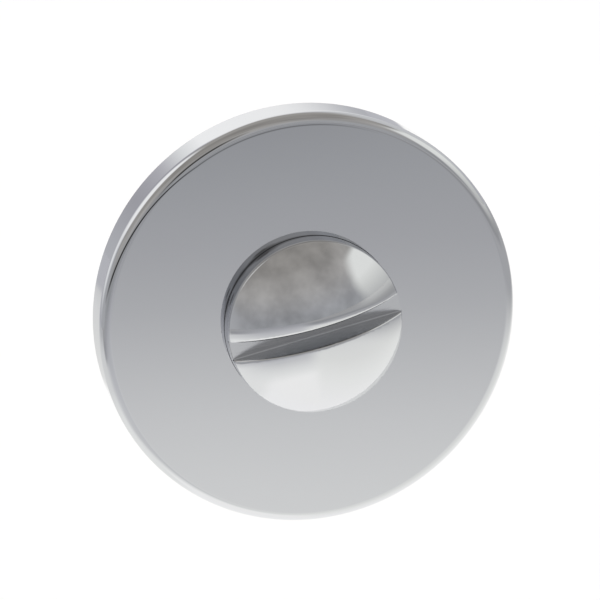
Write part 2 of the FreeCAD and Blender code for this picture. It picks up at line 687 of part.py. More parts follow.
def check_document(doc, pieces):
    for item in doc.Objects:
        if "Invalid" in item.State or "Error" in item.State:
            raise RuntimeError("%s is in state %s" % (item.Label, item.State))
    for piece in pieces:
        if piece.Shape.isNull() or not piece.Shape.isValid() or len(piece.Shape.Solids) != 1:
            raise RuntimeError("%s isn't one valid solid" % piece.Label)


def main():
    doc = FreeCAD.newDocument("ReleaseRose")
    make_sheet(doc)
    pieces = make_pieces(doc)
    doc.recompute()
    check_document(doc, pieces)
    os.makedirs("parts", exist_ok=True)
    for piece in pieces:
        piece.Shape.exportStep("parts/%s.step" % piece.Label)
        print("%s %.2f mm3" % (piece.Label, piece.Shape.Volume))


main()
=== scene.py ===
import bmesh
import bpy
import json
import math
from mathutils import Matrix, Vector


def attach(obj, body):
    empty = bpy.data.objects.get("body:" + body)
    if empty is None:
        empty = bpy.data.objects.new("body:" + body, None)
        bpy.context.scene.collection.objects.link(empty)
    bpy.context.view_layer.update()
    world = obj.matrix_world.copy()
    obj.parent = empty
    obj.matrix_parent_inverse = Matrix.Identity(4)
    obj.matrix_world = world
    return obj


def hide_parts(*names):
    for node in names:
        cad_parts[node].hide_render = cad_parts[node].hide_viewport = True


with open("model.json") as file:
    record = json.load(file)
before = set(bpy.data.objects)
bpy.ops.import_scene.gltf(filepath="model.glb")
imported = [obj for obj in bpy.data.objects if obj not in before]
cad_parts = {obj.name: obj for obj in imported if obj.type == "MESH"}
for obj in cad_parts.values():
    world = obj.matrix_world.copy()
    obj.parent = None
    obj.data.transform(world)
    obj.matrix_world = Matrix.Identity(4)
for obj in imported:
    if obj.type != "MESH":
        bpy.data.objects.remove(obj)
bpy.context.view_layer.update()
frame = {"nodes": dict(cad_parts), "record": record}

mm = 0.001


# Tools for the pieces. Sections are in mm: across is the distance from the Y axis, then the depth along Y.

def linearColor(hexText):
    channels = [int(hexText[i:i + 2], 16) / 255 for i in (1, 3, 5)]
    return [c / 12.92 if c <= 0.04045 else ((c + 0.055) / 1.055) ** 2.4 for c in channels] + [1]


def addLine(mesh, corners, closed=False):
    # a corner's third number is its rounding, and a fourth the steps of it
    points = [mesh.verts.new((corner[0] * mm, corner[1] * mm, 0)) for corner in corners]
    for start, end in zip(points, points[1:] + points[:1] if closed else points[1:]):
        mesh.edges.new((start, end))
    for point, corner in zip(points, corners):
        if len(corner) > 2:
            steps = corner[3] if len(corner) > 3 else 4
            bmesh.ops.bevel(mesh, geom=[point], affect="VERTICES", offset=corner[2] * mm,
                            segments=steps, profile=0.5, material=-1)
    return points


def turnAboutY(mesh, steps=160, angle=2 * math.pi):
    full = angle > 6.28
    bmesh.ops.spin(mesh, geom=mesh.verts[:] + mesh.edges[:], cent=(0, 0, 0), axis=(0, 1, 0),
                   angle=angle, steps=steps, use_merge=full)
    bmesh.ops.remove_doubles(mesh, verts=mesh.verts[:], dist=1e-7)
    bmesh.ops.recalc_face_normals(mesh, faces=mesh.faces[:])
    mesh.normal_update()


def finishPiece(mesh, name, material, body, nodes, sharpAngle=28):
    bmesh.ops.recalc_face_normals(mesh, faces=mesh.faces[:])
    data = bpy.data.meshes.new(name)
    mesh.to_mesh(data)
    mesh.free()
    data.shade_smooth()
    data.set_sharp_from_angle(angle=math.radians(sharpAngle))
    for finish in material if isinstance(material, list) else [material]:
        data.materials.append(finish)
    piece = bpy.data.objects.new(name, data)
    bpy.context.scene.collection.objects.link(piece)
    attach(piece, body)
    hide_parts(*nodes)
    return piece


def addNode(tree, kind, settings=None, inputs=None):
    # an input takes a value, another node's socket, or a node, which gives its first output
    node = tree.nodes.new("ShaderNode" + kind)
    for name, value in (settings or {}).items():
        if name != "stops":
            setattr(node, name, value)
            continue
        while len(node.color_ramp.elements) < len(value):
            node.color_ramp.elements.new(1)
        for element, (place, color) in zip(node.color_ramp.elements, value):
            element.position = place
            element.color = linearColor(color) if isinstance(color, str) else (color, color, color, 1)
    for name, value in (inputs or {}).items():
        if isinstance(value, bpy.types.Node):
            value = next(output for output in value.outputs if output.enabled)
        if isinstance(value, bpy.types.NodeSocket):
            tree.links.new(value, node.inputs[name])
        else:
            node.inputs[name].default_value = value
    return node


def newMaterial(name, color, metallic, roughness):
    material = bpy.data.materials.new(name)
    material.use_nodes = True
    shader = material.node_tree.nodes["Principled BSDF"]
    shader.inputs["Base Color"].default_value = linearColor(color)
    shader.inputs["Metallic"].default_value = metallic
    shader.inputs["Roughness"].default_value = roughness
    return material, material.node_tree, shader


# Materials

def makeChrome(look):
    # nickel-chromium plate: a mirror on a polished face, with the slow waves of the buffing wheel and faint
    # hairlines from wiping, and the tool's lines still in it where the metal was only turned or milled
    material, tree, shader = newMaterial(look["name"], look["color"], 1, look["roughness"])
    place = addNode(tree, "TexCoord").outputs["Object"]
    haze = addNode(tree, "TexNoise", inputs={"Vector": place, "Scale": 1 / (2.4 * mm), "Detail": 4})
    along = addNode(tree, "Mapping", inputs={"Vector": place, "Rotation": look["turn"], "Scale": look["stretch"]})
    lines = addNode(tree, "TexNoise", inputs={"Vector": along, "Scale": 1 / (look["lineWidth"] * mm), "Detail": 2})
    clear = addNode(tree, "ValToRGB", {"stops": [(look["lineStart"], 0.0), (look["lineStart"] + 0.1, 1.0)]},
        {0: lines.outputs["Fac"]})
    hazeLevel = addNode(tree, "MapRange", inputs={"Value": haze.outputs["Fac"], "From Min": 0.35, "From Max": 0.75,
        "To Min": look["roughness"], "To Max": look["roughness"] + look["haze"]})
    level = addNode(tree, "Math", {"operation": "MULTIPLY_ADD"}, {0: clear, 1: look["lineHaze"], 2: hazeLevel})
    tree.links.new(level.outputs[0], shader.inputs["Roughness"])
    waves = addNode(tree, "TexNoise", inputs={"Vector": place, "Scale": 1 / (7 * mm), "Detail": 1})
    bump = addNode(tree, "Bump", inputs={"Height": waves.outputs["Fac"], "Strength": 0.04, "Distance": 0.02 * mm})
    if look["lineDepth"]:
        bump = addNode(tree, "Bump", inputs={"Height": lines.outputs["Fac"], "Strength": 1,
            "Distance": look["lineDepth"] * mm, "Normal": bump})
    if "softEdge" in look:
        # buffing has rounded the dome off towards the slot, along a flat quarter of an ellipse, widest at the slot's
        # left end and less on its lower side
        soft = look["softEdge"]
        parts = addNode(tree, "SeparateXYZ", inputs={0: place})
        across = parts.outputs["Z"]
        aside = addNode(tree, "Math", {"operation": "MAXIMUM"},
            {0: across, 1: addNode(tree, "Math", {"operation": "MULTIPLY"}, {0: across, 1: -1.3})})
        wide = addNode(tree, "MapRange", inputs={"Value": parts.outputs["X"], "From Min": -10 * mm,
            "From Max": 9 * mm, "To Min": soft["left"] / soft["width"], "To Max": soft["right"] / soft["width"]})
        past = addNode(tree, "MapRange", {"clamp": False}, {"Value": aside, "From Min": soft["start"] * mm,
            "From Max": (soft["start"] + soft["width"]) * mm})
        near = addNode(tree, "Math", {"operation": "DIVIDE", "use_clamp": True}, {0: past, 1: wide})
        rest = addNode(tree, "Math", {"operation": "MULTIPLY"},
            {0: near, 1: addNode(tree, "Math", {"operation": "SUBTRACT"}, {0: 2.0, 1: near})})
        height = addNode(tree, "Math", {"operation": "SUBTRACT"},
            {0: addNode(tree, "Math", {"operation": "SQRT"}, {0: rest}), 1: 1.0})
        sunk = addNode(tree, "Math", {"operation": "MULTIPLY"}, {0: height, 1: wide})
        bump = addNode(tree, "Bump", inputs={"Height": sunk, "Strength": 1, "Distance": soft["depth"] * mm,
            "Normal": bump})
    tree.links.new(bump.outputs[0], shader.inputs["Normal"])
    if "paintedDarkEdgeLines" in look:
        # painted dark reflections: fine dark lines painted into the base colour at the edge of the face, which wander
        # outwards along the rim
        parts = addNode(tree, "SeparateXYZ", inputs={0: place})
        flat = addNode(tree, "VectorMath", {"operation": "MULTIPLY"}, {0: place, 1: (1, 0, 1)})
        out = addNode(tree, "VectorMath", {"operation": "LENGTH"}, {0: flat}).outputs["Value"]
        angle = addNode(tree, "Math", {"operation": "ARCTAN2"}, {0: parts.outputs["Z"], 1: parts.outputs["X"]})
        tint = linearColor(look["color"])
        for line in look["paintedDarkEdgeLines"]:
            run = addNode(tree, "MapRange", inputs={"Value": angle,
                "From Min": math.radians(line["turn"][0]), "From Max": math.radians(line["turn"][1]),
                "To Min": line["radius"][0] * mm, "To Max": line["radius"][1] * mm})
            beside = addNode(tree, "Math", {"operation": "ABSOLUTE"},
                {0: addNode(tree, "Math", {"operation": "SUBTRACT"}, {0: out, 1: run})})
            near = addNode(tree, "MapRange", {"interpolation_type": "SMOOTHSTEP"},
                {"Value": beside, "From Min": 0.12 * mm, "From Max": 0.03 * mm})
            ends = addNode(tree, "ValToRGB", {"stops": [(turn / 180, level) for turn, level in line["depth"]]}, {
                0: addNode(tree, "MapRange", inputs={"Value": angle, "From Max": math.pi})})
            amount = addNode(tree, "Math", {"operation": "MULTIPLY"}, {0: near, 1: ends})
            tint = addNode(tree, "Mix", {"data_type": "RGBA"},
                {"Factor": amount, "A": tint, "B": linearColor("#2c2d2f")}).outputs["Result"]
        tree.links.new(tint, shader.inputs["Base Color"])
    if "paintedFootHighlight" in look:
        # a painted highlight: the base colour is lighter along the foot of the slot's walls
        line = look["paintedFootHighlight"]
        depth = addNode(tree, "SeparateXYZ", inputs={0: place}).outputs["Y"]
        near = addNode(tree, "MapRange", {"interpolation_type": "SMOOTHSTEP"},
            {"Value": depth, "From Min": (line["at"] - line["width"]) * mm,
            "From Max": (line["at"] - line["width"] / 3) * mm})
        tint = addNode(tree, "Mix", {"data_type": "RGBA"}, {"Factor": near, "A": linearColor(look["color"]),
            "B": linearColor(line["color"])})
        tree.links.new(tint.outputs["Result"], shader.inputs["Base Color"])
    if "paintedCornerShade" in look:
        # painted shade in the corner by the cover, most on the upper left, with dark blots on the wall near it
        paintedCornerShade = look["paintedCornerShade"]
        parts = addNode(tree, "SeparateXYZ", inputs={0: place})
        angle = addNode(tree, "MapRange",
            inputs={"Value": addNode(tree, "Math", {"operation": "ARCTAN2"},
            {0: parts.outputs["Z"], 1: parts.outputs["X"]}), "From Max": math.pi})
        edgeWobble = addNode(tree, "TexNoise", inputs={"Vector": place, "Scale": 1 / (2.6 * mm), "Detail": 2,
            "Distortion": 0.4})
        width = addNode(tree, "ValToRGB", {"stops": [(turn / 180, size) for turn, size in paintedCornerShade["width"]]},
            {0: angle})
        edge = addNode(tree, "Math", {"operation": "MULTIPLY"}, {0: width, 1: addNode(tree, "MapRange", inputs={
            "Value": edgeWobble.outputs["Fac"], "From Min": 0.35, "From Max": 0.65, "To Min": 0.0006, "To Max": 0.0014})})
        height = addNode(tree, "Math", {"operation": "SUBTRACT"}, {0: -6 * mm, 1: parts.outputs["Y"]})
        share = addNode(tree, "Math", {"operation": "DIVIDE"}, {0: height, 1: edge})
        near = addNode(tree, "MapRange", {"interpolation_type": "SMOOTHSTEP"},
            {"Value": share, "From Min": 1.0, "From Max": 0.1})
        strength = addNode(tree, "ValToRGB", {"stops": [(turn / 180, level) for turn, level in paintedCornerShade["strength"]]},
            {0: angle})
        amount = addNode(tree, "Math", {"operation": "MULTIPLY"}, {0: near, 1: strength})
        for blot in paintedCornerShade["blots"]:
            # each blot has its place in degrees and mm above the cover, its half sizes, and its strength
            turn, above, halfTurn, halfHeight, level = blot
            side = addNode(tree, "MapRange", {"clamp": False}, {"Value": angle, "From Min": turn / 180,
                "From Max": (turn + halfTurn) / 180})
            rise = addNode(tree, "MapRange", {"clamp": False}, {"Value": height, "From Min": above * mm,
                "From Max": (above + halfHeight) * mm})
            off = addNode(tree, "VectorMath", {"operation": "LENGTH"},
                {0: addNode(tree, "CombineXYZ", inputs={"X": side, "Y": rise})}).outputs["Value"]
            wavy = addNode(tree, "Math", {"operation": "ADD"}, {0: off, 1: addNode(tree, "MapRange", inputs={
                "Value": edgeWobble.outputs["Fac"], "From Min": 0.35, "From Max": 0.65, "To Min": -0.2, "To Max": 0.2})})
            dark = addNode(tree, "MapRange", {"interpolation_type": "SMOOTHSTEP"},
                {"Value": wavy, "From Min": 1.0, "From Max": 0.35, "To Max": level})
            amount = addNode(tree, "Math", {"operation": "MAXIMUM"}, {0: amount, 1: dark})
        tint = addNode(tree, "Mix", {"data_type": "RGBA"}, {"Factor": amount, "A": linearColor(look["color"]),
            "B": linearColor(paintedCornerShade["color"])})
        tree.links.new(tint.outputs["Result"], shader.inputs["Base Color"])
    return material


def makeZincCasting():
    # raw die-cast zinc: dull grey metal with a fine grain and the cloudy flow marks of the die
    look = {"color": "#a6aaae", "dark": "#90959a", "roughness": 0.46, "grain": 0.25, "flow": 5.0}
    material, tree, shader = newMaterial("dieCastZinc", look["color"], 1, look["roughness"])
    place = addNode(tree, "TexCoord").outputs["Object"]
    flow = addNode(tree, "TexNoise", inputs={"Vector": place, "Scale": 1 / (look["flow"] * mm), "Detail": 5,
        "Distortion": 1.2})
    color = addNode(tree, "ValToRGB", {"stops": [(0.3, look["dark"]), (0.65, look["color"])]},
        {0: flow.outputs["Fac"]})
    tree.links.new(color.outputs["Color"], shader.inputs["Base Color"])
    level = addNode(tree, "MapRange", inputs={"Value": flow.outputs["Fac"], "To Min": 0.36, "To Max": 0.58})
    tree.links.new(level.outputs[0], shader.inputs["Roughness"])
    grain = addNode(tree, "TexNoise", inputs={"Vector": place, "Scale": 1 / (look["grain"] * mm), "Detail": 3})
    bump = addNode(tree, "Bump", inputs={"Height": grain.outputs["Fac"], "Strength": 0.35, "Distance": 0.03 * mm})
    tree.links.new(bump.outputs[0], shader.inputs["Normal"])
    return material


def makeNylon():
    # injection-moulded nylon in its own milky white, slightly translucent, with a soft satin skin
    look = {"color": "#e9e7dd", "shade": "#dcd9cb", "roughness": 0.42, "cloud": 3.0, "grain": 0.2}
    material, tree, shader = newMaterial("naturalNylon", look["color"], 0, look["roughness"])
    shader.inputs["IOR"].default_value = 1.53
    shader.inputs["Subsurface Weight"].default_value = 0.25
    shader.inputs["Subsurface Radius"].default_value = (1.2, 1.0, 0.8)
    shader.inputs["Subsurface Scale"].default_value = 0.6 * mm
    place = addNode(tree, "TexCoord").outputs["Object"]
    cloud = addNode(tree, "TexNoise", inputs={"Vector": place, "Scale": 1 / (look["cloud"] * mm), "Detail": 3})
    color = addNode(tree, "ValToRGB", {"stops": [(0.35, look["shade"]), (0.6, look["color"])]},
        {0: cloud.outputs["Fac"]})
    tree.links.new(color.outputs["Color"], shader.inputs["Base Color"])
    grain = addNode(tree, "TexNoise", inputs={"Vector": place, "Scale": 1 / (look["grain"] * mm), "Detail": 2})
    bump = addNode(tree, "Bump", inputs={"Height": grain.outputs["Fac"], "Strength": 0.2, "Distance": 0.02 * mm})
    tree.links.new(bump.outputs[0], shader.inputs["Normal"])
    return material


def makeSpringSteel():
    # hardened spring steel, phosphated and oiled: near-black grey, with a low sheen and lighter rubbed spots
    look = {"color": "#3a3b3d", "rubbed": "#6a6a69", "roughness": 0.38, "spot": 1.6, "grain": 0.12}
    material, tree, shader = newMaterial("phosphatedSpringSteel", look["color"], 0.85, look["roughness"])
    place = addNode(tree, "TexCoord").outputs["Object"]
    spots = addNode(tree, "TexNoise", inputs={"Vector": place, "Scale": 1 / (look["spot"] * mm), "Detail": 5,
        "Roughness": 0.65})
    color = addNode(tree, "ValToRGB", {"stops": [(0.45, look["color"]), (0.72, look["rubbed"])]},
        {0: spots.outputs["Fac"]})
    tree.links.new(color.outputs["Color"], shader.inputs["Base Color"])
    level = addNode(tree, "MapRange", inputs={"Value": spots.outputs["Fac"], "To Min": 0.5, "To Max": 0.28})
    tree.links.new(level.outputs[0], shader.inputs["Roughness"])
    grain = addNode(tree, "TexNoise", inputs={"Vector": place, "Scale": 1 / (look["grain"] * mm), "Detail": 2})
    bump = addNode(tree, "Bump", inputs={"Height": grain.outputs["Fac"], "Strength": 0.25, "Distance": 0.015 * mm})
    tree.links.new(bump.outputs[0], shader.inputs["Normal"])
    return material


def makeZincPlate():
    # bright zinc plate, passivated: silver-blue metal with a faint yellow and violet bloom
    look = {"blue": "#c4c8cc", "plain": "#c9cbca", "bloom": "#cbc9c2", "roughness": 0.27, "patch": 2.5, "grain": 0.1}
    material, tree, shader = newMaterial("brightZincPlate", look["plain"], 1, look["roughness"])
    place = addNode(tree, "TexCoord").outputs["Object"]
    patches = addNode(tree, "TexNoise", inputs={"Vector": place, "Scale": 1 / (look["patch"] * mm), "Detail": 3,
        "Distortion": 0.6})
    color = addNode(tree, "ValToRGB", {"stops": [(0.3, look["blue"]), (0.5, look["plain"]), (0.7, look["bloom"])]},
        {0: patches.outputs["Fac"]})
    tree.links.new(color.outputs["Color"], shader.inputs["Base Color"])
    grain = addNode(tree, "TexNoise", inputs={"Vector": place, "Scale": 1 / (look["grain"] * mm), "Detail": 3})
    level = addNode(tree, "MapRange", inputs={"Value": grain.outputs["Fac"], "To Min": 0.2, "To Max": 0.36})
    tree.links.new(level.outputs[0], shader.inputs["Roughness"])
    bump = addNode(tree, "Bump", inputs={"Height": grain.outputs["Fac"], "Strength": 0.2, "Distance": 0.01 * mm})
    tree.links.new(bump.outputs[0], shader.inputs["Normal"])
    return material


chromeLook = {"name": "polishedChrome", "color": "#e5e6e8", "roughness": 0.035, "haze": 0.03, "turn": (0, 0.5, 0),
              "stretch": (0.05, 1, 1), "lineWidth": 0.09, "lineStart": 0.62, "lineHaze": 0.02, "lineDepth": 0}
chrome = makeChrome(chromeLook)
# the cover's chrome has painted dark reflection lines along the edge of its face
coverChrome = makeChrome({**chromeLook, "name": "coverChrome",
    "paintedDarkEdgeLines": [{"turn": (112, 157), "radius": (24.55, 25.56), "depth": [(56, 0.0), (75, 0.45), (108, 0.55),
    (122, 0.9), (151, 0.95), (159, 0.0)]}, {"turn": (95, 125), "radius": (25.2, 25.1), "depth": [(94, 0.0), (104,
    0.9), (117, 0.95), (126, 0.0)]}]})
domeChrome = makeChrome({**chromeLook, "name": "buffedChrome", "softEdge": {
    "start": 1.15, "width": 1.75, "depth": 0.35, "left": 1.9, "right": 0.5}})
# the slot walls' chrome has a painted highlight along their foot
milledChrome = makeChrome({**chromeLook, "name": "milledChrome", "color": "#adafb2", "roughness": 0.17, "haze": 0.06,
    "turn": (0, 0, 0), "stretch": (0.03, 1, 1), "lineWidth": 0.16, "lineStart": 0.5, "lineHaze": 0.05,
    "lineDepth": 0.0007, "paintedFootHighlight": {"at": -8.1, "width": 0.28, "color": "#dcdee1"}})
slotFloorChrome = makeChrome({**chromeLook, "name": "slotFloorChrome", "roughness": 0.17, "haze": 0.06,
    "turn": (0, 0, 0), "stretch": (0.03, 1,
    1), "lineWidth": 0.16, "lineStart": 0.5, "lineHaze": 0.05, "lineDepth": 0.0006})
# the turned wall's chrome has painted shade in the corner by the cover
turnedChrome = makeChrome({**chromeLook, "name": "turnedChrome", "color": "#b4b6bb", "roughness": 0.06,
    "turn": (0, 0, 0), "stretch": (0.02, 1, 0.02), "lineWidth": 0.12, "lineHaze": 0.05, "lineDepth": 0.001,
    "paintedCornerShade": {"color": "#38393c",
        "width": [(0, 0.3), (60, 0.4), (95, 0.65), (111, 1.5), (124, 0.8), (141, 0.65), (152, 1.3), (165, 0.6)],
        "strength": [(8, 0.0), (25, 0.5), (60, 0.7), (95, 0.8), (110, 1.0), (140, 0.9), (152, 1.0), (160, 0.85),
            (171, 0.0)],
        "blots": [(110, 0.75, 10, 0.45, 0.95), (147.5, 1.2, 6, 0.4, 0.9)]}})
zincCasting = makeZincCasting()
nylon = makeNylon()
springSteel = makeSpringSteel()
zincPlate = makeZincPlate()
finishes = {"polished_chrome": chrome, "zinc_casting": zincCasting, "white_nylon": nylon,
            "spring_steel": springSteel, "zinc_plated_steel": zincPlate}
print("materials are made")


# The pressed cover

cover = {"radius": 26.0, "front": -6.0, "wall": 1.0, "edge": 1.3, "hole": 10.87, "holeEdge": 0.015,
         "grooveOut": 25.3, "grooveFront": -2.15, "grooveBack": -1.05, "beside": 0.04}


def makeCover():
    radius, front, near = cover["radius"], cover["front"], cover["beside"]
    inside = radius - cover["wall"]
    back = front + cover["wall"]
    corners = [
        (cover["hole"], back), (cover["hole"], front, cover["holeEdge"], 4),
        (cover["hole"] + cover["holeEdge"] + near, front),
        (radius - cover["edge"] - near, front), (radius, front, cover["edge"], 18),
        (radius, front + cover["edge"] + near), (radius, -0.12 - near), (radius, 0, 0.12, 3), (inside, 0, 0.12, 3),
        (inside, -0.12 - near), (inside, cover["grooveBack"]), (cover["grooveOut"], cover["grooveBack"]),
        (cover["grooveOut"], cover["grooveFront"]), (inside, cover["grooveFront"]),
        (inside, back + 0.3 + near), (inside, back, 0.3, 5), (inside - 0.3 - near, back),
    ]
    mesh = bmesh.new()
    addLine(mesh, corners, closed=True)
    turnAboutY(mesh, 256)
    return finishPiece(mesh, "roseCover", coverChrome, "rose", ["rose_cover"])


makeCover()
print("the cover is made")


# The slotted release

release = {"radius": 10.85, "rim": -8.55, "top": -12.9, "rimEdge": 0.34, "slotHalf": 1.15, "slotFloor": -8.1,
           "lip": 0.2, "lipSteps": 6, "back": -4.3, "shank": 5.0, "grooveFront": 3.55, "grooveBack": 4.65,
           "groove": 4.8, "end": 6.15, "socket": 2.55, "socketDepth": 12.0, "beside": 0.04}


def makeRelease():
    rise = release["rim"] - release["top"]
    domeRadius = (release["radius"] ** 2 + rise ** 2) / (2 * rise)
    centre = release["top"] + domeRadius
    sweep = math.asin(release["radius"] / domeRadius)
    mesh = bmesh.new()
    pole = mesh.verts.new((0, release["top"] * mm, 0))
    arc = bmesh.ops.spin(mesh, geom=[pole], cent=(0, centre * mm, 0), axis=(0, 0, 1), angle=sweep, steps=44)
    rimPoint = [item for item in arc["geom_last"] if isinstance(item, bmesh.types.BMVert)][0]
    near, socket = release["beside"], release["socket"]
    wall = addLine(mesh, [
        (release["radius"], release["rim"] + release["rimEdge"] + near), (release["radius"], release["slotFloor"]),
        (release["radius"], release["back"] - 0.15 - near), (release["radius"], release["back"], 0.15, 3),
        (release["radius"] - 0.15 - near, release["back"]), (release["shank"], release["back"]),
        (release["shank"], release["grooveFront"]), (release["groove"], release["grooveFront"]),
        (release["groove"], release["grooveBack"]), (release["shank"], release["grooveBack"]),
        (release["shank"], release["end"] - 0.5), (release["shank"] - 0.5, release["end"]),
        (release["shank"] - 0.55, release["end"]), (0, release["end"])])
    mesh.edges.new((rimPoint, wall[0]))
    bmesh.ops.bevel(mesh, geom=[rimPoint], affect="VERTICES", offset=release["rimEdge"] * mm, segments=5,
                    profile=0.5, material=-1)
    turnAboutY(mesh, 224)
    cutSlot(mesh)
    half = release["socket"]
    sinkPocket(mesh, release["end"], (-half, half), lambda x, z: max(x, z) < half, -release["socketDepth"])
    slot, wall = (release["slotHalf"] + 0.001) * mm, (release["rim"] + release["rimEdge"] + near / 2) * mm
    for face in mesh.faces:
        middle = face.calc_center_median()
        inSlot = abs(middle.z) < slot and middle.y < (release["slotFloor"] + 0.001) * mm
        onFloor = inSlot and middle.y > (release["slotFloor"] - 0.001) * mm
        face.material_index = 3 if onFloor else 1 if inSlot else 2 if middle.y > wall else 0
    return finishPiece(mesh, "slottedRelease", [domeChrome, milledChrome, turnedChrome, slotFloorChrome], "release",
        ["release"])


def withBorders(faces):
    # the faces with their edges and corners, each once and in the same order on every run
    edges = [edge for face in faces for edge in face.edges]
    corners = [vert for face in faces for vert in face.verts]
    return list(dict.fromkeys(faces + edges + corners))


def boundaryEdges(mesh):
    return [edge for edge in mesh.edges if len(edge.link_faces) == 1]


def cutSlot(mesh):
    # the head is cut at the outer edge of the lips' rounding, and the lips, walls and floor grow from the cut
    floor = release["slotFloor"] * mm
    reach = (release["slotHalf"] + release["lip"]) * mm
    for side in (-1, 1):
        head = [item for item in mesh.faces if item.calc_center_median().y < floor]
        bmesh.ops.bisect_plane(mesh, geom=withBorders(head), dist=1e-7, plane_co=(0, 0, side * reach),
            plane_no=(0, 0, 1))
    inSlot = [face for face in mesh.faces
              if abs(face.calc_center_median().z) < reach and face.calc_center_median().y < floor]
    bmesh.ops.delete(mesh, geom=inSlot, context="FACES")
    tidyCut(mesh, reach)
    for side in (-1, 1):
        lipEdges = [edge for edge in boundaryEdges(mesh)
            if all(abs(v.co.z - side * reach) < 1e-6 for v in edge.verts)]
        roundLip(mesh, lipEdges, side)
    rest = boundaryEdges(mesh)
    bottom = bmesh.ops.contextual_create(mesh, geom=rest)["faces"]
    bmesh.ops.inset_region(mesh, faces=bottom, thickness=release["beside"] * mm, use_even_offset=True)


def tidyCut(mesh, reach):
    # points of the dome that lie close beside the cut are joined to it
    inRim = (release["radius"] - 0.4) * mm
    pairs = {}
    for edge in mesh.edges:
        onCut = [vert for vert in edge.verts if abs(abs(vert.co.z) - reach) < 1e-6]
        if len(onCut) == 1 and edge.calc_length() < 0.11 * mm:
            other = edge.other_vert(onCut[0])
            if math.hypot(other.co.x, other.co.z) < inRim and other.co.y < release["slotFloor"] * mm:
                pairs[other] = onCut[0]
    bmesh.ops.weld_verts(mesh, targetmap=pairs)
    close = [vert for vert in mesh.verts if abs(abs(vert.co.z) - reach) < 1e-6
             and math.hypot(vert.co.x, vert.co.z) < inRim and vert.co.y < release["slotFloor"] * mm]
    bmesh.ops.remove_doubles(mesh, verts=close, dist=0.06 * mm)


def roundLip(mesh, edges, side):
    lip = release["lip"] * mm
    starts = {}
    for vert in dict.fromkeys(vert for edge in edges for vert in edge.verts):
        outward = Vector((vert.normal.x, vert.normal.y, 0)).normalized()
        if abs(vert.co.y - release["slotFloor"] * mm) < 1e-6:
            outward = Vector((vert.co.x, 0, 0)).normalized()
        starts[vert] = (vert.co.copy(), outward)
    for step in range(1, release["lipSteps"] + 1):
        turn = math.pi / 2 * step / release["lipSteps"]
        grown = bmesh.ops.extrude_edge_only(mesh, edges=edges)["geom"]
        edges = [item for item in grown if isinstance(item, bmesh.types.BMEdge)]
        moved = {}
        for vert in [item for item in grown if isinstance(item, bmesh.types.BMVert)]:
            base = next(edge.other_vert(vert) for edge in vert.link_edges if edge.other_vert(vert) in starts)
            place, outward = starts[base]
            vert.co = place - outward * lip * (1 - math.cos(turn)) - Vector((0, 0, side)) * lip * math.sin(turn)
            moved[vert] = (place, outward)
        starts = moved
    ends = [vert for vert in starts if sum(edge in edges for edge in vert.link_edges) == 1]
    closing = mesh.edges.new(ends)
    wall = bmesh.ops.contextual_create(mesh, geom=edges + [closing])["faces"]
    bmesh.ops.inset_region(mesh, faces=wall, thickness=release["beside"] * mm, use_even_offset=True)


def sinkPocket(mesh, face, lines, inside, depth):
    # a pocket with upright walls in the flat face at that depth, cut along lines that cross its outline
    way = 1 if depth > 0 else -1
    for across in (Vector((1, 0, 0)), Vector((0, 0, 1))):
        for line in lines:
            flat = [item for item in mesh.faces if abs(item.calc_center_median().y - face * mm) < 1e-6]
            bmesh.ops.bisect_plane(mesh, geom=withBorders(flat), dist=1e-7, plane_co=across * line * mm,
                plane_no=across)
    mouth = []
    for item in mesh.faces:
        middle = item.calc_center_median()
        if abs(middle.y - face * mm) < 1e-6 and inside(abs(middle.x) / mm, abs(middle.z) / mm):
            mouth.append(item)
    grown = bmesh.ops.extrude_face_region(mesh, geom=mouth)["geom"]
    bmesh.ops.delete(mesh, geom=mouth, context="FACES_KEEP_BOUNDARY")
    deep = [item for item in grown if isinstance(item, bmesh.types.BMVert)]
    bmesh.ops.translate(mesh, verts=deep, vec=(0, depth * mm, 0))


makeRelease()
print("the release is made")


# Pieces behind the cover

def makeTurned(name, corners, material, body, nodes, steps=96, place=(0, 0), angle=2 * math.pi, start=0.0):
    # a turned piece, or one side of a ring with closed ends
    mesh = bmesh.new()
    points = addLine(mesh, corners, closed=True)
    if angle < 6.28:
        bmesh.ops.rotate(mesh, verts=mesh.verts[:], cent=(0, 0, 0), matrix=Matrix.Rotation(start, 3, "Y"))
        bmesh.ops.contextual_create(mesh, geom=mesh.edges[:])
        bmesh.ops.spin(mesh, geom=mesh.faces[:], cent=(0, 0, 0), axis=(0, 1, 0), angle=angle, steps=steps)
    else:
        turnAboutY(mesh, steps)
    bmesh.ops.translate(mesh, verts=mesh.verts[:], vec=(place[0] * mm, 0, place[1] * mm))
    return finishPiece(mesh, name, material, body, nodes)


def makeFromCad(name, node, material, body, edge, steps=3, angle=35):
    # the CAD's own form with its edges rounded
    mesh = bmesh.new()
    mesh.from_mesh(frame["nodes"][node].data)
    bmesh.ops.remove_doubles(mesh, verts=mesh.verts[:], dist=2e-7)
    bmesh.ops.dissolve_limit(mesh, angle_limit=math.radians(0.3), verts=mesh.verts[:], edges=mesh.edges[:])
    piece = finishPiece(mesh, name, material, body, [node], sharpAngle=angle)
    rounding = piece.modifiers.new("rounding", "BEVEL")
    rounding.width = edge * mm
    rounding.segments = steps
    rounding.limit_method = "ANGLE"
    rounding.angle_limit = math.radians(angle)
    rounding.harden_normals = True
    rounding.miter_outer = "MITER_ARC"
    return piece


makeFromCad("basePlate", "base_plate", zincCasting, "rose", 0.18)

bush = {"bore": 5.05, "outer": 6.2, "flange": 9.4, "front": -3.4, "seat": -2.6, "end": 2.8, "edge": 0.15}
makeTurned("shankBush", [(bush["bore"], bush["front"], bush["edge"], 3), (bush["bore"], bush["end"], bush["edge"], 3),
    (bush["outer"], bush["end"], 0.3, 4), (bush["outer"], bush["seat"] + 0.1, 0.1, 3), (bush["flange"], bush["seat"],
    bush["edge"], 3), (bush["flange"], bush["front"], 0.25, 4)], nylon, "rose", ["shank_bush"])

makeFromCad("springWasher", "spring_washer", springSteel, "rose", 0.06, angle=50)

